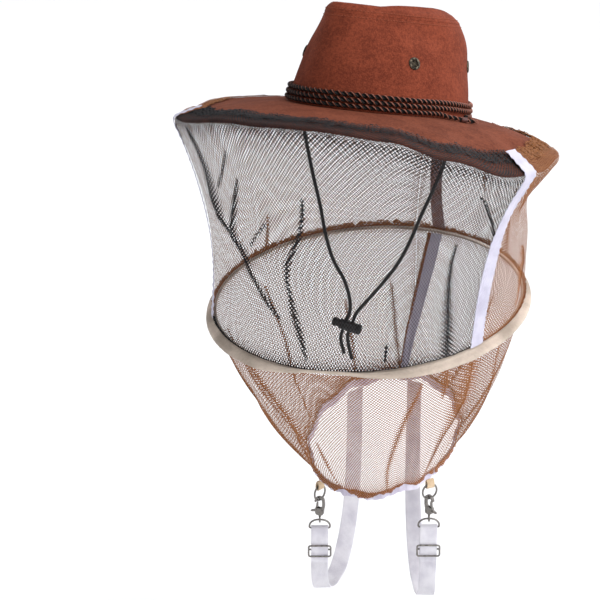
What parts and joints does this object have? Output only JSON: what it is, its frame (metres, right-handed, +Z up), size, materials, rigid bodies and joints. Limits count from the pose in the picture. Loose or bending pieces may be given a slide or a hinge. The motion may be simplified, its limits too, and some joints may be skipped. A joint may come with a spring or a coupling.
{
  "type": "beekeeper hat",
  "caption": "Wide brimmed suede-look hat with a hanging insect net, a hoop, an elastic hem, a chin cord with lock and two arm straps with clasps.",
  "frame": {"origin": "middle of the head opening, where the crown meets the brim and the hat sits on the head", "axes": "+Z up, -Y towards the face, +X towards the wearer's left"},
  "size_m": [0.3728, 0.3657, 0.6176],
  "materials": {
    "suede": "brushed suede look, matt",
    "suede_brim": "brushed suede look, matt",
    "antique_brass": "dark antique finish",
    "band_cord": "twisted glossy cord",
    "black_net": "fine open net",
    "brown_net": "fine open net",
    "tape": "soft woven tape",
    "hoop_casing": "woven casing over spring wire",
    "hem_elastic": "gathered elastic",
    "braided_cord": "round braid",
    "black_plastic": "satin moulded",
    "steel": "nickel plated",
    "webbing": "ribbed elastic webbing",
    "ribbon": "woven ribbon"
  },
  "bodies": {
    "hat": {"crown_side": "suede", "crown_tip": "suede", "brim": "suede_brim", "band_cord_top": "band_cord", "band_cord_middle": "band_cord", "band_cord_bottom": "band_cord", "veil_front": "black_net", "veil_left": "brown_net", "veil_right": "brown_net", "skirt_front": "brown_net", "skirt_left": "brown_net", "skirt_right": "brown_net", "tape_right": "tape", "tape_left": "tape", "tape_back": "tape", "tape_back_lower": "tape", "hoop": "hoop_casing", "hem_elastic": "hem_elastic", "chin_cord_right": "braided_cord", "chin_cord_left": "braided_cord", "cord_lock_barrel": "black_plastic", "eyelet_left_front": "antique_brass", "eyelet_left_back": "antique_brass", "hem_ring_left": "steel", "clasp_hook_left": "steel", "strap_ring_left": "steel", "strap_slider_left": "steel", "hem_tab_left": "ribbon", "strap_left": "webbing", "eyelet_right_front": "antique_brass", "eyelet_right_back": "antique_brass", "hem_ring_right": "steel", "clasp_hook_right": "steel", "strap_ring_right": "steel", "strap_slider_right": "steel", "hem_tab_right": "ribbon", "strap_right": "webbing"},
    "lever_right": {"clasp_lever_right": "steel"},
    "lever_left": {"clasp_lever_left": "steel"},
    "lock_button": {"cord_lock_button": "black_plastic"}
  },
  "joints": [
    {"name": "lever_right_hinge", "type": "hinge", "parent": "hat", "child": "lever_right", "pos_m": [-0.02648, -0.06393, -0.40988], "axis": [-0.225, 0.9744, 0], "range_deg": [0, 20], "stiffness_Nm_per_rad": 0.002, "springref_deg": -11.46},
    {"name": "lever_left_hinge", "type": "hinge", "parent": "hat", "child": "lever_left", "pos_m": [0.08259, -0.01956, -0.39722], "axis": [-0.1736, -0.9848, 0], "range_deg": [0, 20], "stiffness_Nm_per_rad": 0.002, "springref_deg": -11.46},
    {"name": "lock_button_slide", "type": "slide", "parent": "hat", "child": "lock_button", "axis": [0.7698, 0.539, -0.342], "range_m": [0, 0.003], "stiffness_N_per_m": 200, "springref_m": -0.001}
  ]
}
